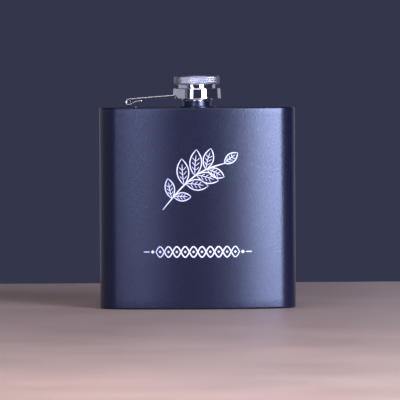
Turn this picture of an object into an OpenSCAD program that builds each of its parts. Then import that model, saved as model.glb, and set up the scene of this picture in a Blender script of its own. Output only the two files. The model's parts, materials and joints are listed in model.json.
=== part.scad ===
// Hip flask: a bowed steel body with a screw cap that a hinged arm keeps captive.
// Millimetres. X runs across the width, with the hinge on the -X side. Y runs from the bowed
// front (-Y) to the hollow back (+Y), and Z is up.
// The origin is on the base, directly below the axis of the neck.

/* [Body] */
// Height from the base to the top plate's upper face
body_h = 96.4; // [80:0.2:130]
// Thickness from the front face to the back face
body_t = 22; // [20:0.5:24]
// Radius of the bowed front face, which also sets the width across the rounded ends
front_r = 139.5; // [130:0.5:150]
// Thickness of the steel sheet
sheet_t = 0.6; // [0.5:0.1:0.7]
// Radius pressed on the upper edge
top_edge_r = 0.8; // [0.8:0.1:1.6]
// Radius pressed on the lower edge
base_edge_r = 1; // [0.8:0.1:2.4]

/* [Neck] */
// Radius of the mouth
mouth_r = 4.7; // [4.5:0.1:4.8]
// Height of the spout's lip above the top plate
spout_h = 7; // [6.8:0.1:7]
// Height of the painted ring round the foot of the spout
ring_h = 3.1; // [2.8:0.1:3.1]
// Outer radius of that ring
ring_r = 6.8; // [6.6:0.1:7]
// Radius of the flange that is welded to the top plate
flange_r = 9.2; // [8.5:0.1:9.5]
// Rise of the thread in one turn
pitch = 1.5; // [1.4:0.1:1.6]

/* [Hinge] */
// Distance from the neck's axis to the hinge pin
pin_x = 32.5; // [31:0.5:33]
// Height of the hinge pin above the top plate
pin_h = 2.8; // [2.7:0.1:3]
// Radius of the hinge pin
pin_r = 1; // [0.9:0.05:1.05]
// Width of the arm, along the hinge pin
arm_w = 8.8; // [8:0.2:10]
// Slope of the arm's strip when the cap is closed
arm_slope = 4.4; // [4:0.1:4.8]

/* [Cap] */
// Radius of the knurled head
head_r = 10.95; // [10.5:0.05:11.5]
// Height of the knurled band
head_h = 3.8; // [3.4:0.1:4.4]
// Number of grip ridges round the head
ridges = 62; // [48:2:80]
// Radius of the smooth waist under the head
waist_r = 8.8; // [8.6:0.1:8.8]
// Gap between the head and the collar when the cap is closed
waist_gap = 1.9; // [1.6:0.1:2.2]
// Radius of the collar at its upper edge
collar_r = 11.2; // [11:0.1:11.5]
// Height of the collar's lower rim above the top plate
collar_z = 4.3; // [4.2:0.1:4.4]
// Height of the collar
collar_h = 4.9; // [4.8:0.1:5.1]

/* [Hidden] */
$fn = 96;

steel = "silver";
paint = "#20263a";

// Body outline: a bowed band of even thickness with round ends. The bow turns by the small angle
// of a 7-24-25 triangle on each side, so that its ends have short exact coordinates.
bow_sin = 0.28;
bow_cos = 0.96;
mid_r = front_r - body_t / 2;
end_r = body_t / 2;
end_x = mid_r * bow_sin;
end_y = mid_r * (1 - bow_cos);
body_w = 2 * (end_x + end_r);
top_pan_d = 3.4;
base_pan_d = 5;

// How far a cutting shape runs past the faces that it cuts
past = 1;

// Neck
spout_t = 0.7;
spout_r = mouth_r + spout_t;
lip_chamfer = 0.25;
flange_t = 0.5;
flange_chamfer = 0.2;
ring_chamfer = 0.3;

// Thread: height and width of the ridge, depth of its root inside the wall, and its length
crest = 0.4;
thread_w = 0.9;
crest_w = 0.3;
sunk = 0.15;
thread_run_in = 40;
thread_above_ring = 0.5;
thread_z = ring_h + thread_above_ring;
spout_turns = 1.9;

// Hinge
running_gap = 0.05;
side_gap = 0.1;
roll_r = pin_r + running_gap + sheet_t;
lug_w = 3.4;
notch_w = lug_w + 2 * side_gap;
notch_reach = 2;
bracket_l = 8;
bracket_corner = 1.2;
web_t = 1.3;
pin_proud = 0.25;

// Folded tail of the arm, measured from the pin: where its faces leave the knuckle, and its knee and end
tail_outer = [0.6, -1.5];
tail_inner = [0.3, -1];
tail_knee_x = 3.7;
tail_end = [6.4, 0.2];
tail_t = 0.5;

// Cap, with heights above the top plate
collar_top = collar_z + collar_h;
collar_flare = 0.3;
waist_play = 0.2;
collar_hole_r = waist_r + waist_play;
head_z = collar_top + waist_gap;
head_chamfer = 0.35;
head_dome = 0.2;
dome_slope_w = 1;
head_roof = 1;
ridge_depth = 0.35;
core_step = 0.09;
insert_r = 7.3;
insert_roof = 0.8;
insert_above_ring = 0.3;
insert_z = ring_h + insert_above_ring;
thread_gap = 0.32;
insert_bore_r = spout_r + 2 * crest + thread_gap;
seal_t = 1.5;
seal_gap = 0.05;
seal_play = 0.1;
seal_z = spout_h + seal_gap;
insert_top = seal_z + seal_t + insert_roof;
chamber_top = head_z + head_h - head_roof;
clip_t = 0.5;
clip_above_rim = 0.3;
clip_z = collar_z + clip_above_rim;
clip_lap = 0.7;
clip_r = collar_hole_r + clip_lap;
clip_slot = 2.4;
clip_play = 0.08;
groove_depth = 0.35;
groove_r = insert_r - groove_depth;
// The thread inside the cap starts one ridge above the insert's lower face and stops below the seal
insert_turns = (seal_z - seal_gap - insert_z - 1.5 * thread_w) / pitch;

// Half of a pan's solid section, from the middle line out to half_w, with a rounded upper corner
module pan_block(half_w, depth, edge_r) {
  polygon([[-half_w, -depth], [half_w, -depth], [half_w, -edge_r], [half_w - edge_r, 0],
           [edge_r - half_w, 0], [-half_w, -edge_r]]);
  for (side = [-1, 1])
    translate([side * (half_w - edge_r), -edge_r]) circle(r = edge_r);
}

// Section through a pressed pan of sheet, with its flat face at the top
module pan_section(depth, edge_r) {
  difference() {
    pan_block(end_r, depth, edge_r);
    translate([0, -sheet_t]) pan_block(end_r - sheet_t, depth, edge_r - sheet_t);
  }
}

// Sweeps a section that is symmetric about x = 0 round the body: along the bow, then round both ends
module sweep_body() {
  reach = 2 * front_r;
  intersection() {
    translate([0, mid_r, 0]) rotate_extrude() translate([mid_r, 0]) children();
    translate([0, 0, -body_h])
      linear_extrude(3 * body_h)
        polygon([[0, mid_r], [-reach * bow_sin, mid_r - reach * bow_cos],
                 [reach * bow_sin, mid_r - reach * bow_cos]]);
  }
  for (flip = [0, 1])
    mirror([flip, 0, 0])
      translate([end_x, end_y, 0])
        rotate([0, 0, asin(bow_sin) - 90])
          rotate_extrude(angle = 180)
            intersection() {
              children();
              translate([0, -body_h]) square([body_w, 2 * body_h]);
            }
}

// Wall of the body: one rolled and welded strip of sheet
module body_wrap() {
  wall_h = body_h - top_pan_d - base_pan_d;
  color(paint)
    translate([0, 0, base_pan_d])
      sweep_body()
        for (side = [-1, 1])
          translate([side * (end_r - sheet_t / 2), wall_h / 2]) square([sheet_t, wall_h], center = true);
}

// Top of the body: a pressed pan with a hole for the spout
module top_plate() {
  color(paint)
    translate([0, 0, body_h])
      difference() {
        sweep_body() pan_section(top_pan_d, top_edge_r);
        translate([0, 0, -sheet_t - past]) cylinder(r = spout_r, h = sheet_t + 2 * past);
      }
}

// Bottom of the body: a deeper pressed pan
module bottom_plate() {
  color(paint)
    mirror([0, 0, 1])
      sweep_body() pan_section(base_pan_d, base_edge_r);
}

// Painted flange with an upright ring, welded to the top plate round the spout
module neck_flange() {
  color(paint)
    translate([0, 0, body_h])
      rotate_extrude()
        polygon([[spout_r, 0], [flange_r, 0], [flange_r, flange_t - flange_chamfer],
                 [flange_r - flange_chamfer, flange_t], [ring_r, flange_t], [ring_r, ring_h - ring_chamfer],
                 [ring_r - ring_chamfer, ring_h], [spout_r, ring_h]]);
}

// One point of a thread ridge's section at angle a along it: k counts round the section
function ridge_point(base_r, out, turns, a, k) =
  let (rise = min(1, a / thread_run_in, (360 * turns - a) / thread_run_in),
       root = base_r - out * sunk,
       tip = base_r + out * (crest * rise - sunk * (1 - rise) / 2),
       r = k < 2 ? root : tip,
       dz = [-thread_w, thread_w, crest_w, -crest_w][k] / 2)
  [r * cos(a), r * sin(a), pitch * a / 360 + dz];

// Helical ridge that stands out of a wall of radius base_r: outwards for out = 1, inwards for -1
module thread_ridge(base_r, out, turns) {
  step = 15;
  steps = floor(360 * turns / step);
  points = [for (i = [0:steps], k = [0:3]) ridge_point(base_r, out, turns, i * step, k)];
  sides = [for (i = [0:steps - 1], k = [0:3])
             let (a = 4 * i + k, b = 4 * i + (k + 1) % 4)
             each [[a, b, b + 4], [a, b + 4, a + 4]]];
  ends = [[3, 2, 1, 0], [for (k = [0:3]) 4 * steps + k]];
  faces = concat(sides, ends);
  polyhedron(points, out < 0 ? faces : [for (f = faces) [for (i = [len(f) - 1:-1:0]) f[i]]]);
}

// Threaded spout, a turned steel tube that is welded into the top plate
module neck_spout() {
  color(steel)
    translate([0, 0, body_h]) {
      rotate_extrude()
        polygon([[mouth_r, -sheet_t], [spout_r, -sheet_t], [spout_r, spout_h - lip_chamfer],
                 [spout_r - lip_chamfer, spout_h], [mouth_r, spout_h]]);
      translate([0, 0, thread_z]) thread_ridge(spout_r, 1, spout_turns);
    }
}

// Places a section drawn in the X-Z plane about the hinge pin, w wide along the pin
module at_pin(w) {
  translate([-pin_x, w / 2, body_h + pin_h]) rotate([90, 0, 0]) linear_extrude(w) children();
}

// Painted bracket on the top plate: a flat foot with one lug in the middle that holds the pin
module hinge_bracket() {
  color(paint)
    difference() {
      union() {
        translate([-pin_x, 0, body_h])
          linear_extrude(sheet_t) {
            square([bracket_l, arm_w - 2 * bracket_corner], center = true);
            square([bracket_l - 2 * bracket_corner, arm_w], center = true);
            for (x = [-1, 1], y = [-1, 1])
              translate([x * (bracket_l / 2 - bracket_corner), y * (arm_w / 2 - bracket_corner)])
                circle(r = bracket_corner);
          }
        at_pin(lug_w) {
          circle(r = roll_r);
          translate([-web_t / 2, sheet_t / 2 - pin_h]) square([web_t, pin_h]);
        }
      }
      at_pin(2 * lug_w) circle(r = pin_r);
    }
}

// Hinge pin, pressed into the bracket's lug
module hinge_pin() {
  color(steel)
    at_pin(arm_w + 2 * pin_proud) circle(r = pin_r);
}

// Strip, rolled knuckle and folded-back tail of the arm, seen from the front
module arm_section() {
  reach = pin_x - sqrt(pow(collar_r, 2) - pow(arm_w / 2, 2)) + sheet_t;
  difference() {
    union() {
      circle(r = roll_r);
      rotate(arm_slope) translate([0, roll_r - sheet_t]) square([reach, sheet_t]);
      polygon([tail_outer, [tail_knee_x, 0], tail_end, tail_end + [0, tail_t],
               [tail_knee_x, tail_t], tail_inner]);
    }
    circle(r = pin_r + running_gap);
  }
}

// Arm and collar, stamped from one sheet: two outer knuckles, a strip and the cup round the cap's waist
module hinge_arm() {
  strip_z = body_h + pin_h + (roll_r - sheet_t) / cos(arm_slope)
            + (pin_x - collar_r) * tan(arm_slope);
  color(steel) {
    difference() {
      at_pin(arm_w) arm_section();
      translate([-pin_x - 2 * roll_r, -notch_w / 2, body_h])
        cube([2 * roll_r + notch_reach, notch_w, 2 * pin_h]);
      translate([0, 0, body_h]) cylinder(r = collar_r - sheet_t, h = collar_top);
    }
    difference() {
      translate([0, 0, body_h])
        rotate_extrude()
          polygon([[collar_hole_r, collar_top - sheet_t], [collar_r - sheet_t, collar_top - sheet_t],
                   [collar_r + collar_flare - sheet_t, collar_z], [collar_r + collar_flare, collar_z],
                   [collar_r, collar_top - sheet_t / 2], [collar_r - sheet_t / 2, collar_top],
                   [collar_hole_r, collar_top]]);
      translate([-2 * collar_r, -arm_w / 2, body_h])
        cube([2 * collar_r - insert_r, arm_w, strip_z - body_h]);
    }
  }
}

// Split ring in the insert's groove, which keeps the cap from leaving the collar
module retaining_ring() {
  color(steel)
    translate([0, 0, body_h + clip_z])
      linear_extrude(clip_t)
        difference() {
          circle(r = clip_r);
          circle(r = groove_r + clip_play);
          translate([0, -clip_slot / 2]) square([2 * clip_r, clip_slot]);
        }
}

// Head and waist of the cap, with straight grip ridges and a hollow for the insert
module cap_head() {
  valley_r = head_r - ridge_depth;
  grip = [for (i = [0:2 * ridges - 1])
            let (a = 180 * i / ridges, r = i % 2 == 0 ? head_r : valley_r)
            [r * cos(a), r * sin(a)]];
  core_r = valley_r - core_step;
  top_z = head_z + head_h;
  waist_z = clip_z + clip_t + clip_play;
  color(steel)
    translate([0, 0, body_h])
      difference() {
        union() {
          translate([0, 0, head_z + head_chamfer]) linear_extrude(head_h - 2 * head_chamfer) polygon(grip);
          rotate_extrude()
            polygon([[0, waist_z], [waist_r, waist_z], [waist_r, head_z], [core_r - head_chamfer, head_z],
                     [core_r, head_z + head_chamfer], [core_r, top_z - head_chamfer],
                     [core_r - head_chamfer, top_z],
                     [core_r - head_chamfer - dome_slope_w, top_z + head_dome],
                     [0, top_z + head_dome]]);
        }
        translate([0, 0, waist_z - past]) cylinder(r = insert_r, h = chamber_top - waist_z + past);
      }
}

// Threaded insert of the cap, pressed into the head's hollow, with a groove for the retaining ring
module cap_insert() {
  groove_low = clip_z - clip_play;
  groove_top = clip_z + clip_t + clip_play;
  ceiling = seal_z + seal_t;
  color(steel)
    translate([0, 0, body_h]) {
      rotate_extrude()
        polygon([[insert_bore_r, insert_z], [insert_r, insert_z], [insert_r, groove_low],
                 [groove_r, groove_low], [groove_r, groove_top], [insert_r, groove_top],
                 [insert_r, insert_top], [0, insert_top], [0, ceiling], [insert_bore_r, ceiling]]);
      translate([0, 0, insert_z + thread_w]) thread_ridge(insert_bore_r, -1, insert_turns);
    }
}

// Silicone disc that seals the spout's lip
module cap_seal() {
  color("ivory")
    translate([0, 0, body_h + seal_z]) cylinder(r = insert_bore_r - seal_play, h = seal_t);
}

body_wrap();
top_plate();
bottom_plate();
neck_flange();
neck_spout();
hinge_bracket();
hinge_pin();
hinge_arm();
retaining_ring();
cap_head();
cap_insert();
cap_seal();
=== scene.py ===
"""Visual model of a hip flask: a bowed, powder-coated steel body with a knurled screw cap on a hinged arm.

Shapes are made in millimetres, in the CAD model's own frame, and scaled to metres as each mesh is finished.
"""

import json
from math import asin, atan2, ceil, cos, degrees, hypot, pi, radians, sin, sqrt, tan

import bmesh
import bpy
from mathutils import Euler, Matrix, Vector


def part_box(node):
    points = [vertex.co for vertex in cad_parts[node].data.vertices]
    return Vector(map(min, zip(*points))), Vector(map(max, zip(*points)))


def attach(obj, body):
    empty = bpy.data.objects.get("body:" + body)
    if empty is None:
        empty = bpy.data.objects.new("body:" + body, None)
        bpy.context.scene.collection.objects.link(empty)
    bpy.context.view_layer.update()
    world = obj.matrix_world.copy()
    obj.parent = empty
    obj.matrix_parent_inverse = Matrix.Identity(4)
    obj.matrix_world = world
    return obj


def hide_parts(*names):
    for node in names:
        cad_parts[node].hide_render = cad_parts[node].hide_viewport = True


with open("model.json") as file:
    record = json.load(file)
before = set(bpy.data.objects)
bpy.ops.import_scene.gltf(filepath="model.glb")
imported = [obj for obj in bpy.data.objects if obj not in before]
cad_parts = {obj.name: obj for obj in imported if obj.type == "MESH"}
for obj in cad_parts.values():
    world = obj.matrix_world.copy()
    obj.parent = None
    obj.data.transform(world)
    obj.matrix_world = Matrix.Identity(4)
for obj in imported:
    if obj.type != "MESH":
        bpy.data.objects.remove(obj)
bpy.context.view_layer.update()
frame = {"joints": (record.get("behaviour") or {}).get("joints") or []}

MM = 0.001


# ---------------------------------------------------------------- sizes, from the frame

def box_mm(node):
    """Lowest and highest corner of a CAD node, in millimetres."""
    low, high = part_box(node)
    return low / MM, high / MM


# Body: a band that is bowed by the angle BOW on each side of its middle, with round ends
WALL_LOW, WALL_HIGH = box_mm("body_wrap")
BODY_TOP = box_mm("top_plate")[1].z
END_R = -WALL_LOW.y
END_X = WALL_HIGH.x - END_R
END_Y = WALL_HIGH.y - END_R
MID_R = (END_X ** 2 + END_Y ** 2) / (2 * END_Y)
BOW = asin(END_X / MID_R)
FRONT_R = MID_R + END_R
SHEET = 0.6
TOP_EDGE_R = 0.8
BASE_EDGE_R = 1.0

# Hinge
SWING = next(j for j in frame["joints"] if j["name"] == "arm_swing")
PIN = Vector(SWING["pos_m"]) / MM
PIN_R = box_mm("hinge_pin")[1].z - PIN.z
RUNNING_GAP, SIDE_GAP = 0.05, 0.1
ROLL_R = PIN_R + RUNNING_GAP + SHEET
ARM_W = 8.8
ARM_SLOPE = radians(4.4)
LUG_W = 3.4

# Neck and its thread, which is a ridge CREST high and THREAD_W wide
RING_R, RING_TOP = 6.8, box_mm("neck_flange")[1].z
FLANGE_R = box_mm("neck_flange")[1].x
SPOUT_LOW, SPOUT_TOP = (corner.z for corner in box_mm("neck_spout"))
SPOUT_R, MOUTH_R = 5.4, 4.7
PITCH, CREST, THREAD_W, THREAD_TURNS = 1.5, 0.4, 0.95, 1.9

# Collar and cap
COLLAR_LIFT, WAIST_GAP = 4.3, 1.9
COLLAR_BASE, COLLAR_TOP = BODY_TOP + COLLAR_LIFT, box_mm("hinge_arm")[1].z
COLLAR_R, COLLAR_FLARE = 11.2, 0.3
COLLAR_HOLE_R = 9.0
HEAD_LOW, HEAD_TOP = COLLAR_TOP + WAIST_GAP, box_mm("cap_head")[1].z
HEAD_R, WAIST_R, INSERT_R = 10.95, 8.8, 7.3
WAIST_LOW = box_mm("cap_head")[0].z
KNURLS, KNURL_DEPTH = 62, 0.36
KNURL_LEAN = tan(radians(30))


# ---------------------------------------------------------------- mesh helpers

def bezier(a, b, c, steps):
    """Points on a curve from a to c that leaves and arrives along its sides to b."""
    return [a.lerp(b, t).lerp(b.lerp(c, t), t) for t in (i / steps for i in range(steps + 1))]


def arc(cx, cz, r, start, end, steps):
    """Points on an arc, angles in degrees."""
    turn = [radians(start + (end - start) * i / steps) for i in range(steps + 1)]
    return [(cx + r * cos(a), cz + r * sin(a)) for a in turn]


def rounded(points, radius, steps=4):
    """A closed outline with each corner rounded. A point may hold its own radius as a third value."""
    sharp, straight = 1e-4, 1e-3
    most_radius, most_back = 0.45, 0.48
    out = []
    for i, p in enumerate(points):
        r = p[2] if len(p) > 2 else radius
        here = Vector(p[:2])
        before, after = Vector(points[i - 1][:2]), Vector(points[(i + 1) % len(points)][:2])
        u, v = before - here, after - here
        r = min(r, most_radius * u.length, most_radius * v.length)
        half = u.angle(v) / 2
        if r < sharp or abs(half - pi / 2) < straight:
            out.append(tuple(here))
            continue
        back = min(r / tan(half), most_back * u.length, most_back * v.length)
        a, b = here + u.normalized() * back, here + v.normalized() * back
        for k in range(steps + 1):
            t = k / steps
            q = a.lerp(here, t).lerp(here.lerp(b, t), t)
            out.append((q.x, q.y))
    return out


def skin(bm, rings, closed=True):
    """Quads between rings of vertices; closed also joins the last ring to the first."""
    count = len(rings)
    faces = []
    for i in range(count if closed else count - 1):
        a, b = rings[i], rings[(i + 1) % count]
        for j in range(len(a)):
            k = (j + 1) % len(a)
            faces.append(bm.faces.new((a[j], a[k], b[k], b[j])))
    return faces


def turned_rings(bm, profile, steps=160, height=None):
    """A ring about the neck's axis for each (radius, z) of a profile. height(angle, r, z) may bend it."""
    turn = [2 * pi * j / steps for j in range(steps)]
    rings = []
    for r, z in profile:
        rings.append([bm.verts.new((r * cos(a), r * sin(a), height(a, r, z) if height else z))
                      for a in turn])
    return rings


def close_end(bm, ring):
    """Closes a ring with one flat face."""
    bm.faces.new(ring)


def tube(bm, rings):
    """Skins a row of rings and closes both of its ends."""
    skin(bm, rings, closed=False)
    close_end(bm, rings[0])
    close_end(bm, rings[-1])


def round_edges(piece, width_mm, segments, angle):
    """Rounds each edge that is sharper than the angle, in degrees."""
    edge = piece.modifiers.new("edges", "BEVEL")
    edge.width = width_mm * MM
    edge.segments = segments
    edge.limit_method = "ANGLE"
    edge.angle_limit = radians(angle)
    edge.harden_normals = True


def finish_piece(name, bm, body, materials, replaces=(), sharp=40, bevel=0):
    """Makes the piece from a mesh in millimetres, smooth except at sharp edges, riding on its body."""
    bmesh.ops.remove_doubles(bm, verts=bm.verts, dist=1e-5)
    bmesh.ops.recalc_face_normals(bm, faces=bm.faces)
    bmesh.ops.scale(bm, vec=(MM, MM, MM), verts=bm.verts)
    mesh = bpy.data.meshes.new(name)
    bm.to_mesh(mesh)
    bm.free()
    mesh.shade_smooth()
    mesh.set_sharp_from_angle(angle=radians(sharp))
    piece = bpy.data.objects.new(name, mesh)
    bpy.context.scene.collection.objects.link(piece)
    for m in materials:
        mesh.materials.append(m)
    if bevel:
        round_edges(piece, bevel, segments=3, angle=35)
    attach(piece, body)
    if replaces:
        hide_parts(*replaces)
    return piece


# ---------------------------------------------------------------- materials

def material(name):
    """A node material: (material, nodes, links, its Principled shader)."""
    m = bpy.data.materials.new(name)
    m.use_nodes = True
    nodes, links = m.node_tree.nodes, m.node_tree.links
    return m, nodes, links, nodes["Principled BSDF"]


def place(nodes, links, scale=(1, 1, 1)):
    """Object coordinates in millimetres, stretched by scale."""
    coords = nodes.new("ShaderNodeTexCoord")
    mapping = nodes.new("ShaderNodeMapping")
    mapping.inputs["Scale"].default_value = [s / MM for s in scale]
    links.new(coords.outputs["Object"], mapping.inputs["Vector"])
    return mapping.outputs["Vector"]


def axis_distance(nodes, links, at):
    """Distance from the neck's axis."""
    flat = nodes.new("ShaderNodeVectorMath")
    flat.operation = "MULTIPLY"
    flat.inputs[1].default_value = (1, 1, 0)
    links.new(at, flat.inputs[0])
    length = nodes.new("ShaderNodeVectorMath")
    length.operation = "LENGTH"
    links.new(flat.outputs[0], length.inputs[0])
    return length.outputs["Value"]


def noise(nodes, links, vector, scale, detail=3, rough=0.55):
    """Noise with features about 1 / scale millimetres wide."""
    n = nodes.new("ShaderNodeTexNoise")
    n.inputs["Scale"].default_value = scale
    n.inputs["Detail"].default_value = detail
    n.inputs["Roughness"].default_value = rough
    links.new(vector, n.inputs["Vector"])
    return n.outputs["Fac"]


def spread(nodes, links, value, low, high, start=0.3, end=0.7):
    """Maps a value between start and end to low and high."""
    n = nodes.new("ShaderNodeMapRange")
    n.inputs["From Min"].default_value = start
    n.inputs["From Max"].default_value = end
    n.inputs["To Min"].default_value = low
    n.inputs["To Max"].default_value = high
    links.new(value, n.inputs["Value"])
    return n.outputs["Result"]


def ramp(nodes, links, value, *stops):
    """A colour ramp of (position, colour) stops."""
    n = nodes.new("ShaderNodeValToRGB")
    while len(n.color_ramp.elements) < len(stops):
        n.color_ramp.elements.new(0.5)
    for element, (position, colour) in zip(n.color_ramp.elements, stops):
        element.position = position
        element.color = (*colour, 1)
    links.new(value, n.inputs["Fac"])
    return n.outputs["Color"]


def bump(nodes, links, height, depth_mm, strength, under=None):
    """A bumped normal, on top of the normal under it."""
    n = nodes.new("ShaderNodeBump")
    n.inputs["Distance"].default_value = depth_mm * MM
    n.inputs["Strength"].default_value = strength
    links.new(height, n.inputs["Height"])
    if under:
        links.new(under, n.inputs["Normal"])
    return n.outputs["Normal"]


def powder_coat():
    """Satin navy powder coat: a faint mottle, small lighter flecks, fine grain and shallow orange peel."""
    m, nodes, links, shader = material("powder_coat")
    at = place(nodes, links)
    mottle = noise(nodes, links, at, 0.9, 4, 0.65)
    grain = noise(nodes, links, at, 2.2, 3, 0.6)
    peel = noise(nodes, links, at, 1.7, 2, 0.5)
    fleck = nodes.new("ShaderNodeTexVoronoi")
    fleck.inputs["Scale"].default_value = 3.2
    links.new(at, fleck.inputs["Vector"])
    spark = spread(nodes, links, fleck.outputs["Distance"], 1, 0, 0.06, 0.2)
    dark_navy, light_navy = (0.0028, 0.0036, 0.0125), (0.0050, 0.0062, 0.0190)
    fleck_blue = (0.018, 0.022, 0.055)
    base = ramp(nodes, links, mottle, (0.35, dark_navy), (0.65, light_navy))
    mix = nodes.new("ShaderNodeMixRGB")
    links.new(spark, mix.inputs["Fac"])
    links.new(base, mix.inputs["Color1"])
    mix.inputs["Color2"].default_value = (*fleck_blue, 1)
    links.new(mix.outputs["Color"], shader.inputs["Base Color"])
    links.new(spread(nodes, links, grain, 0.25, 0.34), shader.inputs["Roughness"])
    shader.inputs["Specular IOR Level"].default_value = 0.5
    shader.inputs["Specular Tint"].default_value = (0.86, 0.91, 1.0, 1)
    fine = bump(nodes, links, grain, 0.006, 0.6)
    links.new(bump(nodes, links, peel, 0.065, 0.8, fine), shader.inputs["Normal"])
    return m


def steel(name, colour, rough, smudge, grain_scale, grain_depth, dark=0.8):
    """Bare steel: smudged roughness, and fine working marks that grain_scale stretches."""
    m, nodes, links, shader = material(name)
    at = place(nodes, links)
    cloud = noise(nodes, links, at, 0.45, 4)
    marks = noise(nodes, links, place(nodes, links, grain_scale), 1.0, 3)
    shader.inputs["Metallic"].default_value = 1
    links.new(ramp(nodes, links, cloud, (0.3, tuple(dark * c for c in colour)), (0.7, colour)),
              shader.inputs["Base Color"])
    links.new(spread(nodes, links, cloud, rough, rough + smudge), shader.inputs["Roughness"])
    links.new(bump(nodes, links, marks, grain_depth, 0.5), shader.inputs["Normal"])
    return m


def knurled_steel():
    """Nickel-bright steel with painted shade in the knurl's valleys: its colour darkens with depth below the
    crests.
    """
    m, nodes, links, shader = material("knurled_steel")
    at = place(nodes, links)
    height = spread(nodes, links, axis_distance(nodes, links, at), 0, 1, HEAD_R - KNURL_DEPTH, HEAD_R)
    cloud = noise(nodes, links, at, 0.8, 4)
    painted_valley_shade, crest = (0.08, 0.08, 0.09), (0.78, 0.78, 0.80)
    shader.inputs["Metallic"].default_value = 1
    # Painted shade: the base colour runs from near black at the bottom of the knurl's grooves to bright
    # steel on its crests.
    links.new(ramp(nodes, links, height, (0.12, painted_valley_shade), (0.8, crest)), shader.inputs["Base Color"])
    links.new(spread(nodes, links, cloud, 0.30, 0.38), shader.inputs["Roughness"])
    links.new(bump(nodes, links, noise(nodes, links, at, 9, 2), 0.002, 0.4), shader.inputs["Normal"])
    return m


def spun_steel():
    """Faced steel with fine rings about the neck's axis."""
    m, nodes, links, shader = material("spun_steel")
    at = place(nodes, links)
    rings = nodes.new("ShaderNodeTexNoise")
    rings.noise_dimensions = "1D"
    rings.inputs["Scale"].default_value = 9
    rings.inputs["Detail"].default_value = 3
    links.new(axis_distance(nodes, links, at), rings.inputs["W"])
    cloud = noise(nodes, links, at, 0.4, 4)
    shader.inputs["Metallic"].default_value = 1
    links.new(ramp(nodes, links, cloud, (0.3, (0.66, 0.66, 0.68)), (0.7, (0.76, 0.76, 0.78))),
              shader.inputs["Base Color"])
    links.new(spread(nodes, links, rings.outputs["Fac"], 0.12, 0.28), shader.inputs["Roughness"])
    links.new(bump(nodes, links, rings.outputs["Fac"], 0.006, 0.5), shader.inputs["Normal"])
    return m


def etched_steel():
    """Steel laid bare by a laser: frosted, light and slightly grey-violet."""
    m, nodes, links, shader = material("etched_steel")
    at = place(nodes, links)
    frost = noise(nodes, links, at, 7, 3)
    shader.inputs["Metallic"].default_value = 0.35
    links.new(ramp(nodes, links, frost, (0.3, (0.62, 0.62, 0.68)), (0.7, (0.82, 0.82, 0.88))),
              shader.inputs["Base Color"])
    links.new(spread(nodes, links, frost, 0.45, 0.65), shader.inputs["Roughness"])
    links.new(bump(nodes, links, frost, 0.01, 0.5), shader.inputs["Normal"])
    return m


def silicone():
    """Soft translucent white silicone with a faint cloudiness."""
    m, nodes, links, shader = material("silicone")
    at = place(nodes, links)
    cloud = noise(nodes, links, at, 0.6, 4)
    links.new(ramp(nodes, links, cloud, (0.3, (0.70, 0.70, 0.66)), (0.7, (0.80, 0.80, 0.76))),
              shader.inputs["Base Color"])
    shader.inputs["Subsurface Weight"].default_value = 0.25
    shader.inputs["Subsurface Scale"].default_value = 0.6 * MM
    links.new(spread(nodes, links, cloud, 0.38, 0.52), shader.inputs["Roughness"])
    links.new(bump(nodes, links, noise(nodes, links, at, 3, 2), 0.01, 0.3), shader.inputs["Normal"])
    return m


COAT = powder_coat()
MIRROR = steel("mirror_steel", (0.84, 0.84, 0.86), 0.015, 0.02, (0.5, 0.5, 3), 0.0005, dark=0.94)
TURNED = steel("turned_steel", (0.68, 0.68, 0.70), 0.20, 0.10, (0.3, 0.3, 14), 0.006)
SATIN = steel("satin_steel", (0.80, 0.80, 0.83), 0.12, 0.08, (0.6, 9, 2), 0.003)
PIN_STEEL = steel("pin_steel", (0.26, 0.26, 0.29), 0.10, 0.08, (4, 0.6, 4), 0.003)
SPRING = steel("spring_steel", (0.52, 0.52, 0.55), 0.24, 0.10, (6, 6, 1), 0.005)
KNURLED = knurled_steel()
SPUN = spun_steel()
ETCHED = etched_steel()
SILICONE = silicone()


# ---------------------------------------------------------------- body

FRONT_STEPS, END_STEPS = 96, 40


def outline(inset):
    """The body's outline, inset from the outer face: front, right end, back, left end."""
    points = []
    for i in range(FRONT_STEPS):
        a = -BOW + 2 * BOW * i / FRONT_STEPS
        points.append(((FRONT_R - inset) * sin(a), MID_R - (FRONT_R - inset) * cos(a)))
    for side in (1, -1):
        for i in range(END_STEPS):
            a = BOW - pi / 2 + pi * (i / END_STEPS if side > 0 else 1 - i / END_STEPS)
            r = END_R - inset
            points.append((side * (END_X + r * cos(a)), END_Y + r * sin(a)))
        if side > 0:
            back = MID_R - END_R + inset
            for i in range(FRONT_STEPS):
                a = BOW - 2 * BOW * i / FRONT_STEPS
                points.append((back * sin(a), MID_R - back * cos(a)))
    return points


def outline_ring(bm, inset, z):
    """The body's outline at a height."""
    return [bm.verts.new((x, y, z)) for x, y in outline(inset)]


def round_ring(bm, r, z):
    """A circle about the neck's axis with one vertex towards each point of the body's outline."""
    return [bm.verts.new((r * x / hypot(x, y), r * y / hypot(x, y), z)) for x, y in outline(0)]


def make_wall():
    """The rolled wall between the two pans."""
    bm = bmesh.new()
    low, high = WALL_LOW.z, WALL_HIGH.z
    levels = 12
    heights = [low + (high - low) * i / levels for i in range(levels + 1)]
    rings = [outline_ring(bm, 0, z) for z in heights]
    rings += [outline_ring(bm, SHEET, z) for z in reversed(heights)]
    skin(bm, rings)
    return finish_piece("body_wall", bm, "flask", [COAT], ["body_wrap"])


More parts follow.
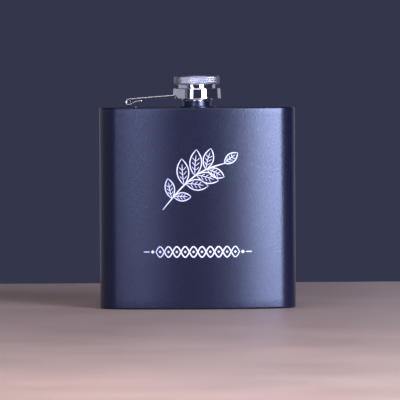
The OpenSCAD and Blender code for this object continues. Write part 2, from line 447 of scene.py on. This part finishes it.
def pan_rings(bm, flat_z, rim_z, edge_r, hole_r):
    """Rings of a pressed pan, from the middle of its outer face, over its rim, to that of its inner face."""
    inward = 1 if rim_z > flat_z else -1
    flat_from = edge_r + 0.4
    rings = [round_ring(bm, hole_r, flat_z), outline_ring(bm, flat_from, flat_z)]
    for x, z in arc(edge_r, edge_r, edge_r, -90, -180, 8):
        rings.append(outline_ring(bm, x, flat_z + inward * z))
    rings.append(outline_ring(bm, 0, rim_z))
    rings.append(outline_ring(bm, SHEET, rim_z))
    for x, z in arc(edge_r, edge_r, edge_r - SHEET, -180, -90, 6):
        rings.append(outline_ring(bm, x, flat_z + inward * z))
    rings.append(outline_ring(bm, flat_from, flat_z + inward * SHEET))
    rings.append(round_ring(bm, hole_r, flat_z + inward * SHEET))
    return rings


def make_top():
    """Top pan, with the hole for the spout."""
    bm = bmesh.new()
    skin(bm, pan_rings(bm, BODY_TOP, WALL_HIGH.z, TOP_EDGE_R, SPOUT_R))
    return finish_piece("body_top", bm, "flask", [COAT], ["top_plate"])


def make_base():
    """Bottom pan. A small round face closes the middle of each side of it."""
    bm = bmesh.new()
    middle_r = 3
    tube(bm, pan_rings(bm, 0, WALL_LOW.z, BASE_EDGE_R, middle_r))
    return finish_piece("body_base", bm, "flask", [COAT], ["bottom_plate"])


# ---------------------------------------------------------------- neck

def make_flange():
    """Welded flange and upright ring, painted, with a bare chamfer where the coating was masked."""
    bm = bmesh.new()
    flange_z = BODY_TOP + 0.5
    profile = rounded([(SPOUT_R, BODY_TOP), (FLANGE_R, BODY_TOP), (FLANGE_R, flange_z, 0.3),
                       (RING_R, flange_z, 0.4), (RING_R, RING_TOP, 0.35), (SPOUT_R, RING_TOP)], 0.02)
    bare_from = RING_TOP - 0.16
    for f in skin(bm, turned_rings(bm, profile, 128)):
        f.material_index = 1 if min(v.co.z for v in f.verts) > bare_from else 0
    return finish_piece("neck_ring", bm, "flask", [COAT, TURNED], ["neck_flange"])


def thread_height(angle, z, start):
    """Height, from 0 to 1, of a right-handed ridge that starts at z = start and fades at both ends."""
    fade_in, flank = 9, 1.5
    best = 0
    for k in range(-1, ceil(THREAD_TURNS) + 1):
        along = angle / (2 * pi) + k
        if 0 <= along <= THREAD_TURNS:
            off = abs(z - start - PITCH * along) / (THREAD_W / 2)
            run = min(1, along * fade_in, (THREAD_TURNS - along) * fade_in)
            best = max(best, run * min(1, max(0, flank * (1 - off))))
    return best


def threaded(bm, base_r, out, z_low, z_high, start, steps=160, rows=56):
    """Rings of a threaded wall. out is 1 for an outer thread and -1 for an inner one."""
    rings = []
    for i in range(rows + 1):
        z = z_low + (z_high - z_low) * i / rows
        ring = []
        for j in range(steps):
            a = 2 * pi * j / steps
            r = base_r + out * CREST * thread_height(a, z, start)
            ring.append(bm.verts.new((r * cos(a), r * sin(a), z)))
        rings.append(ring)
    return rings


def make_spout():
    """Threaded spout with a round lip."""
    bm = bmesh.new()
    lip_r = (SPOUT_R - MOUTH_R) / 2
    lip = arc(MOUTH_R + lip_r, SPOUT_TOP - lip_r, lip_r, 0, 180, 10)
    rings = threaded(bm, SPOUT_R, 1, RING_TOP - 0.1, SPOUT_TOP - lip_r - 0.01, RING_TOP + 0.5)
    rings += turned_rings(bm, lip + [(MOUTH_R, SPOUT_LOW), (SPOUT_R, SPOUT_LOW)])
    skin(bm, rings)
    return finish_piece("spout", bm, "flask", [TURNED], ["neck_spout"], sharp=60)


# ---------------------------------------------------------------- hinge

def slab(bm, outline_points, low, high, axis="z"):
    """A flat outline given thickness. Along y the outline is in x and z, and along z it is in x and y."""
    def at(p, t):
        return (p[0], t, p[1]) if axis == "y" else (p[0], p[1], t)
    tube(bm, [[bm.verts.new(at(p, t)) for p in outline_points] for t in (low, high)])


def make_bracket():
    """Foot with rounded corners, and a lug rolled round the pin."""
    bm = bmesh.new()
    half_l, half_w, corner = 4.0, ARM_W / 2, 1.2
    foot_top, foot_middle = BODY_TOP + SHEET, BODY_TOP + SHEET / 2
    foot = rounded([(PIN.x - half_l, -half_w), (PIN.x + half_l, -half_w),
                    (PIN.x + half_l, half_w), (PIN.x - half_l, half_w)], corner, 8)
    slab(bm, foot, BODY_TOP, foot_top)
    web, fillet, root = 0.65, 0.9, 0.6
    web_angle = degrees(asin(web / ROLL_R))
    roll = arc(PIN.x, PIN.z, ROLL_R, -90 + web_angle, 270 - web_angle, 40)
    left = arc(PIN.x - web - fillet, foot_top + fillet, fillet, 0, -80, 6)
    right = arc(PIN.x + web + fillet, foot_top + fillet, fillet, 260, 180, 6)
    buried = [(PIN.x - web - root, foot_middle), (PIN.x + web + root, foot_middle)]
    slab(bm, roll + left + buried + right, -LUG_W / 2, LUG_W / 2, "y")
    return finish_piece("bracket", bm, "flask", [COAT], ["hinge_bracket"], bevel=0.08)


def make_pin():
    """Pin with its ends rounded at the rim."""
    bm = bmesh.new()
    half = box_mm("hinge_pin")[1].y
    edge = 0.22
    rim = [(PIN_R - edge + x, half - edge + y) for x, y in arc(0, 0, edge, 0, 88, 6)]
    profile = [(r, -y) for r, y in reversed(rim)] + rim
    steps = 48
    tube(bm, [[bm.verts.new((PIN.x + r * cos(2 * pi * j / steps), y, PIN.z + r * sin(2 * pi * j / steps)))
               for j in range(steps)] for r, y in profile])
    return finish_piece("pin", bm, "flask", [PIN_STEEL], ["hinge_pin"])


def tail_and_roll():
    """Middle lines of the arm's folded tail and of its knuckles, in x and z about the pin."""
    middle_r = ROLL_R - SHEET / 2
    leave = 302
    foot = Vector((middle_r * cos(radians(leave)), middle_r * sin(radians(leave))))
    knee = Vector((3.5, 0.3))
    tip_reach = 2.75
    tip = knee + Vector((tip_reach, tip_reach * tan(ARM_SLOPE)))
    bend_steps = 6
    tail = [tip, *bezier(knee.lerp(tip, 0.25), knee, foot.lerp(knee, 0.75), bend_steps)]
    roll = [Vector(p) for p in arc(0, 0, middle_r, leave, 90 + degrees(ARM_SLOPE), 30)]
    return tail, roll


def strip_height(x):
    """Height of the strip's middle line above the pin, x right of it."""
    return (ROLL_R - SHEET / 2) / cos(ARM_SLOPE) + x * tan(ARM_SLOPE)


def collar_radius(z):
    """Outer radius of the collar's wall at a height."""
    return COLLAR_R + COLLAR_FLARE * (COLLAR_TOP - z) / (COLLAR_TOP - COLLAR_BASE)


def make_arm():
    """Folded tail, two rolled knuckles and strip, which form one stamping with the collar the strip was bent
    out of. The collar is made in make_collar.
    """
    bm = bmesh.new()
    tail, roll = tail_and_roll()
    half_slot = LUG_W / 2 + SIDE_GAP
    slot_reach = 2.0
    edge_in = ARM_W / 2 - 0.6
    half_across = [half_slot / 2, half_slot, edge_in, ARM_W / 2]
    across = [-y for y in reversed(half_across)] + [0] + half_across
    meet_z = BODY_TOP + 6
    wall_r = collar_radius(meet_z) - SHEET / 2
    strip_steps = 24
    verts = []
    for y in across:
        wall_x = -PIN.x - sqrt(wall_r ** 2 - y * y)
        along = [slot_reach + (wall_x - slot_reach) * i / strip_steps for i in range(strip_steps + 1)]
        column = tail + roll + [Vector((x, strip_height(x))) for x in along]
        verts.append([bm.verts.new((PIN.x + p.x, y, PIN.z + p.y)) for p in column])
    slot_start = max(i for i, p in enumerate(tail) if p.x > slot_reach)
    slot_end = len(tail) + len(roll)
    for c in range(len(across) - 1):
        in_slot = abs(across[c] + across[c + 1]) / 2 < half_slot
        for i in range(len(verts[0]) - 1):
            if in_slot and slot_start <= i < slot_end:
                continue
            bm.faces.new((verts[c][i], verts[c][i + 1], verts[c + 1][i + 1], verts[c + 1][i]))
    arm = finish_piece("arm_strip", bm, "arm", [SATIN], ["hinge_arm"], sharp=50)
    thick = arm.modifiers.new("sheet", "SOLIDIFY")
    thick.thickness = SHEET * MM
    thick.offset = 0
    thick.use_even_offset = True
    round_edges(arm, 0.27, segments=4, angle=50)
    return arm


def make_collar():
    """Drawn cup round the cap's waist, cut away below the arm that was bent out of its wall."""
    bm = bmesh.new()
    strip_low = PIN.z + strip_height(-PIN.x - COLLAR_R) - SHEET / 2
    lifted_below = strip_low + 0.4
    corner = 0.5

    def height(a, r, z):
        """Lifts the lower rim over the arm's width, with rounded corners."""
        if z > lifted_below or cos(a) > 0:
            return z
        beside = ARM_W / 2 - abs(r * sin(a))
        lift = min(1, max(0, beside / corner + 0.5))
        share = min(1, (lifted_below - z) / (lifted_below - COLLAR_BASE))
        return z + (strip_low - COLLAR_BASE) * share * lift * lift * (3 - 2 * lift)

    low_r, ceiling = COLLAR_R + COLLAR_FLARE, COLLAR_TOP - SHEET
    profile = rounded([(COLLAR_HOLE_R, ceiling, 0.15), (COLLAR_R - SHEET, ceiling, 0.3),
                       (low_r - SHEET, COLLAR_BASE, 0.15), (low_r, COLLAR_BASE, 0.12),
                       (COLLAR_R, COLLAR_TOP, 0.55), (COLLAR_HOLE_R, COLLAR_TOP, 0.15)], 0.1, 6)
    wall_levels, tall = 14, 2
    dense = []
    for i, (r, z) in enumerate(profile):
        next_r, next_z = profile[(i + 1) % len(profile)]
        dense.append((r, z))
        if abs(z - next_z) > tall:
            dense += [(r + (next_r - r) * k / wall_levels, z + (next_z - z) * k / wall_levels)
                      for k in range(1, wall_levels)]
    skin(bm, turned_rings(bm, dense, 360, height))
    return finish_piece("collar", bm, "arm", [MIRROR])


# ---------------------------------------------------------------- cap

def knurl(column, across):
    """Depth of a diamond knurl below its crests: one deep set of grooves, crossed by a shallower set."""
    deep = abs(column % 1 - 0.5) * 2
    shallow = 0.6 * abs(across % 1 - 0.5) * 2
    return max(deep, shallow)


def make_head():
    """Knurled head with a faced top, and the smooth waist below it."""
    bm = bmesh.new()
    per_groove, rows = 10, 44
    steps = KNURLS * per_groove
    chamfer, dome, roof = 0.22, 0.1, 1.2
    top = HEAD_TOP - dome
    band_low, band_high = HEAD_LOW + chamfer, top - chamfer
    core_r = HEAD_R - KNURL_DEPTH
    beside_band = 0.02
    rings = []

    def lean(z):
        """Turn of the deep grooves at a height, in grooves. The mesh leans with them."""
        return z / (2 * pi * HEAD_R) * KNURLS * KNURL_LEAN

    def ring(r, z):
        turn = [2 * pi * (j / per_groove - lean(z)) / KNURLS for j in range(steps)]
        rings.append([bm.verts.new((r * cos(a), r * sin(a), z)) for a in turn])

    for r, z in [(INSERT_R, WAIST_LOW + 0.02), (WAIST_R - 0.15, WAIST_LOW), (WAIST_R, WAIST_LOW + 0.15),
                 (WAIST_R, WAIST_LOW + 0.20), (WAIST_R, HEAD_LOW - 0.30), (WAIST_R, HEAD_LOW - 0.25),
                 (WAIST_R + 0.08, HEAD_LOW - 0.08), (WAIST_R + 0.25, HEAD_LOW),
                 (core_r - chamfer, HEAD_LOW), (core_r - beside_band, band_low - beside_band)]:
        ring(r, z)
    for i in range(rows + 1):
        z = band_low + (band_high - band_low) * i / rows
        fade = min(1, 0.25 + 0.25 * i, 0.25 + 0.25 * (rows - i))
        row = []
        for j in range(steps):
            column = j / per_groove
            a = 2 * pi * (column - lean(z)) / KNURLS
            r = core_r + KNURL_DEPTH * (1 - knurl(column, column - 2 * lean(z))) * fade
            row.append(bm.verts.new((r * cos(a), r * sin(a), z)))
        rings.append(row)
    for r, z in [(core_r - beside_band, band_high + beside_band), (core_r - chamfer, top),
                 (core_r - 0.5, top + 0.3 * dome), (core_r - 1.0, top + 0.55 * dome),
                 (core_r - 2.2, top + 0.8 * dome), (6, top + 0.95 * dome), (3, top + dome)]:
        ring(r, z)
    skin(bm, rings, closed=False)
    close_end(bm, rings[-1])
    outside = len(rings)
    for r, z in [(INSERT_R, WAIST_LOW + 0.02), (INSERT_R, HEAD_TOP - roof), (3, HEAD_TOP - roof)]:
        ring(r, z)
    skin(bm, rings[outside:], closed=False)
    close_end(bm, rings[-1])
    knurled, smooth, faced = 0, 1, 2
    piece = finish_piece("cap_knob", bm, "cap", [KNURLED, MIRROR, SPUN], ["cap_head"],
                         sharp=38)
    for p in piece.data.polygons:
        z = p.center.z / MM
        r = hypot(p.center.x, p.center.y) / MM
        if r > core_r - 0.1 and band_low - beside_band < z < band_high + beside_band:
            p.material_index = knurled
        else:
            p.material_index = faced if z > band_high else smooth
    return piece


def make_insert():
    """Threaded insert with a groove for the retaining ring."""
    bm = bmesh.new()
    low, high = (corner.z for corner in box_mm("cap_insert"))
    ceiling = box_mm("cap_seal")[1].z
    bore_r, groove_r, middle_r = 6.52, 6.95, 0.6
    pressed_r = INSERT_R - 0.02
    edge, bore_edge, play = 0.12, 0.15, 0.08
    clip_low, clip_high = (corner.z for corner in box_mm("retaining_ring"))
    groove_low, groove_high = clip_low - play, clip_high + play
    middle = [(middle_r, ceiling), (middle_r, high)]
    outer = [(pressed_r, high), (pressed_r, groove_high + 0.4), (pressed_r, groove_high),
             (groove_r, groove_high), (groove_r, groove_low), (INSERT_R, groove_low),
             (INSERT_R, low + edge), (INSERT_R - edge, low), (bore_r + bore_edge, low)]
    rings = turned_rings(bm, middle + outer)
    rings += threaded(bm, bore_r, -1, low + bore_edge, ceiling - 0.05, low + 0.9)
    rings += turned_rings(bm, [(bore_r, ceiling)])
    skin(bm, rings)
    for ring in turned_rings(bm, middle):
        close_end(bm, ring)
    return finish_piece("cap_thread", bm, "cap", [TURNED], ["cap_insert"], sharp=60)


def make_ring():
    """Split spring ring with rounded edges."""
    bm = bmesh.new()
    low, high = (corner.z for corner in box_mm("retaining_ring"))
    outer_r, inner_r, half_split = box_mm("retaining_ring")[1].y, 7.03, 1.2
    start = asin(half_split / inner_r)
    section = rounded([(inner_r, low), (outer_r, low), (outer_r, high), (inner_r, high)], 0.14, 4)
    steps = 120
    rings = []
    for i in range(steps + 1):
        a = start + (2 * pi - 2 * start) * i / steps
        rings.append([bm.verts.new((r * cos(a), r * sin(a), z)) for r, z in section])
    tube(bm, rings)
    return finish_piece("split_ring", bm, "cap_ring", [SPRING], ["retaining_ring"])


def make_seal():
    """Seal disc with a moulded bead and the print of the spout's lip."""
    bm = bmesh.new()
    low, high = (corner.z for corner in box_mm("cap_seal"))
    r, middle_r, edge, dish = box_mm("cap_seal")[1].x, 0.8, 0.15, 0.25
    lip = (SPOUT_R + MOUTH_R) / 2
    profile = [(middle_r, low + dish), (MOUTH_R - 1.1, low + dish), (MOUTH_R - 0.7, low + 0.05),
               (MOUTH_R - 0.3, low), (lip - 0.15, low + 0.02), (lip + 0.15, low + 0.02),
               (SPOUT_R + 0.2, low), (r - edge, low), (r, low + edge), (r, high - edge),
               (r - edge, high), (middle_r, high)]
    tube(bm, turned_rings(bm, profile, 96))
    return finish_piece("seal", bm, "cap", [SILICONE], ["cap_seal"])


# ---------------------------------------------------------------- etched ornament

LIFT = 0.02


def on_front(x, z, lift):
    """A point on the bowed front face, lift outside it."""
    r = FRONT_R + lift
    a = x / FRONT_R
    return (r * sin(a), MID_R - r * cos(a), z)


def stroke(bm, points, width, taper=0.35, lift=LIFT):
    """A flat etched line along points in x and z, narrower at both ends."""
    narrow_part = 6
    rings = []
    count = len(points)
    for i, p in enumerate(points):
        before, after = points[max(i - 1, 0)], points[min(i + 1, count - 1)]
        d = (Vector(after) - Vector(before)).normalized()
        n = Vector((-d.y, d.x))
        t = i / (count - 1)
        half = width / 2 * min(1, taper + (1 - taper) * min(t, 1 - t) * narrow_part)
        left, right = Vector(p) + n * half, Vector(p) - n * half
        rings.append([bm.verts.new(on_front(q.x, q.y, h))
                      for q, h in ((left, -LIFT), (left, lift), (right, lift), (right, -LIFT))])
    tube(bm, rings)


def curve(start, end, bulge, steps=20):
    """Points along an arc-like curve whose middle stands off its chord by bulge."""
    a, b = Vector(start), Vector(end)
    d = b - a
    side = Vector((-d.y, d.x)).normalized() * bulge * 2
    return bezier(a, (a + b) / 2 + side, b, steps)


def leaf(bm, root, angle, length, fullness, width, veins=3):
    """An outlined leaf with a midrib and pairs of veins. fullness is how far its sides bulge."""
    midrib, first_vein, vein_step, vein_run = 0.8, 0.22, 0.17, 0.13    # of the leaf's length
    vein_spread, midrib_bow = 0.62, 0.1    # of its fullness
    vein_bow = 0.12
    root = Vector(root)
    d = Vector((cos(angle), sin(angle)))
    n = Vector((-d.y, d.x))
    tip = root + d * length
    for side in (-1, 1):
        stroke(bm, curve(root, tip, side * fullness), width)
    stroke(bm, curve(root, root + d * length * midrib, midrib_bow * fullness, 10), 0.7 * width)
    for k in range(veins):
        foot = root + d * length * (first_vein + vein_step * k)
        for side in (-1, 1):
            end = foot + d * length * vein_run + n * side * fullness * vein_spread
            stroke(bm, curve(foot, end, side * vein_bow, 6), 0.55 * width)


def lozenge(bm, x, z, size):
    """A filled etched lozenge."""
    corners = [(x - size, z), (x, z - size), (x + size, z), (x, z + size)]
    tube(bm, [[bm.verts.new(on_front(px, pz, lift)) for px, pz in corners] for lift in (-LIFT, LIFT)])


def add_sprig(bm, x, z):
    """A bent stem with four pairs of leaves and one leaf at its tip."""
    steps, line, stem_line = 40, 0.5, 0.62
    across, up, bow = 29.5, 22, 4.6
    stem = [(x - 16 + across * t, z - 14.5 + up * t + bow * sin(pi * t))
            for t in (i / steps for i in range(steps + 1))]
    stroke(bm, stem, stem_line, 0.5)
    # where a pair sits along the stem, and its leaves' length and fullness
    pairs = [(0.16, 9.8, 2.2), (0.34, 12.6, 2.8), (0.52, 12.6, 2.8), (0.70, 10.4, 2.4)]
    for along, length, fullness in pairs:
        here, after = stem[round(along * steps)], stem[round(along * steps) + 1]
        heading = atan2(after[1] - here[1], after[0] - here[0])
        leaf(bm, here, heading + radians(52), length, fullness, line)
        leaf(bm, after, heading - radians(50), 0.86 * length, 0.9 * fullness, line)
    leaf(bm, stem[-1], radians(38), 8.2, 2.1, line)


def add_band(bm, z):
    """Two crossed waves, a lozenge in each of their eyes, and a lozenge and a dash at both ends."""
    period, waves, swing, line, steps = 8.0, 5, 2.5, 0.62, 24
    half = period * waves / 2
    for turn, lift in ((0, LIFT), (pi, 1.2 * LIFT)):
        wave = [(-half + period * i / steps, z + swing * sin(2 * pi * i / steps + turn))
                for i in range(steps * waves + 1)]
        stroke(bm, wave, line, 0.6, lift)
    for k in range(2 * waves):
        lozenge(bm, -half + period * (k + 0.5) / 2, z, 0.7)
    for side in (-1, 1):
        lozenge(bm, side * (half + 1.6), z, 0.9)
        stroke(bm, [(side * (half + 3.0 + 0.5 * i), z) for i in range(7)], 0.5, 0.2)


def make_ornament():
    """A plain leafy sprig over a band of two crossed waves with lozenges between them."""
    bm = bmesh.new()
    add_sprig(bm, -0.6, 62.2)
    add_band(bm, 27.6)
    return finish_piece("etched_ornament", bm, "flask", [ETCHED])


make_wall()
make_top()
make_base()
make_flange()
make_spout()
make_bracket()
make_pin()
make_arm()
make_collar()
make_head()
make_insert()
make_ring()
make_seal()
make_ornament()


# ---------------------------------------------------------------- stage, lights and camera

def make_floor():
    """Plain pale table top that ends behind the flask."""
    bm = bmesh.new()
    half, back, front, thick = 1.6, 0.245, -1.9, 0.03
    edge = rounded([(-half, front), (half, front), (half, back), (-half, back)], 0.02, 6)
    slab(bm, edge, -thick, 0)
    bmesh.ops.recalc_face_normals(bm, faces=bm.faces)
    mesh = bpy.data.meshes.new("floor")
    bm.to_mesh(mesh)
    bm.free()
    floor = bpy.data.objects.new("floor", mesh)
    bpy.context.scene.collection.objects.link(floor)
    m, nodes, links, shader = material("floor")
    at = place(nodes, links)
    cloud = noise(nodes, links, at, 0.012, 4)
    shade, pale = (0.37, 0.265, 0.20), (0.43, 0.31, 0.235)
    links.new(ramp(nodes, links, cloud, (0.3, shade), (0.7, pale)), shader.inputs["Base Color"])
    links.new(spread(nodes, links, cloud, 0.38, 0.50), shader.inputs["Roughness"])
    mesh.materials.append(m)


def soft_box(name, width, height, watts, colour):
    """A rectangular light that points down until it is turned. Sizes of lights are in metres."""
    lamp = bpy.data.lights.new(name, "AREA")
    lamp.shape = "RECTANGLE"
    lamp.size, lamp.size_y = width, height
    lamp.energy = watts
    lamp.color = colour
    light = bpy.data.objects.new(name, lamp)
    bpy.context.scene.collection.objects.link(light)
    return light


def aimed_box(name, azimuth, elevation, distance, width, height, watts, colour):
    """A soft box that faces the flask. Azimuth 0 is in front of it and 90 on its right."""
    light = soft_box(name, width, height, watts, colour)
    a, e = radians(azimuth), radians(elevation)
    middle = Vector((0, 0, BODY_TOP / 2 * MM))
    back = Vector((sin(a) * cos(e), -cos(a) * cos(e), sin(e)))
    light.location = middle + back * distance
    light.rotation_euler = back.to_track_quat("Z", "Y").to_euler()


def make_lights():
    """Two tall lights for the streaks on the steel, dim cards round the flask, and one for the table."""
    cool, blue, soft, warm = (0.57, 0.64, 1.0), (0.53, 0.59, 1.0), (0.80, 0.80, 1.0), (1, 0.9, 0.86)
    aimed_box("key_right", 36.1, 3, 1.2, 0.46, 1.0, 51.5, cool)
    aimed_box("fill_left", -25.5, 3, 1.2, 0.26, 1.0, 7.8, blue)
    aimed_box("card_left_edge", -52, 4, 1.2, 0.17, 0.9, 0.08, soft)
    aimed_box("card_left", -86, 4, 1.2, 1.2, 0.9, 1.3, soft)
    aimed_box("card_left_back", -141, 4, 1.2, 1.3, 0.9, 1.5, soft)
    aimed_box("card_right_back", 148, 4, 1.2, 1.2, 0.9, 1.4, soft)
    aimed_box("top_soft", 0, 84, 0.9, 0.7, 0.7, 2.2, soft)
    soft_box("table_front", 0.5, 0.25, 2.5, warm).location = (0, -0.62, 0.42)


def make_world():
    """The plain dark blue background, which also fills the shadows."""
    world = bpy.data.worlds.new("studio")
    world.use_nodes = True
    background = world.node_tree.nodes["Background"]
    background.inputs["Color"].default_value = (0.034, 0.037, 0.072, 1)
    background.inputs["Strength"].default_value = 1.0
    bpy.context.scene.world = world


def make_camera():
    """A long lens a little above the flask's middle, turned by a slight roll. view_width is in metres."""
    distance, elevation, roll = 2.2, 1.85, 0.34
    view_width = 0.19168
    aim = Vector((0.0012, 0, 0.0520))
    cam = bpy.data.cameras.new("camera")
    cam.sensor_width = 36
    cam.lens = cam.sensor_width * distance / view_width
    cam.clip_start, cam.clip_end = 0.1, 20
    camera = bpy.data.objects.new("camera", cam)
    e = radians(elevation)
    back = Vector((0, -cos(e), sin(e)))
    camera.location = aim + back * distance
    turn = (-back).to_track_quat("-Z", "Y").to_matrix()
    camera.rotation_euler = (turn @ Euler((0, 0, radians(-roll))).to_matrix()).to_euler()
    bpy.context.scene.collection.objects.link(camera)
    bpy.context.scene.camera = camera


make_floor()
make_world()
make_camera()
make_lights()
bpy.context.scene.view_settings.view_transform = "Standard"
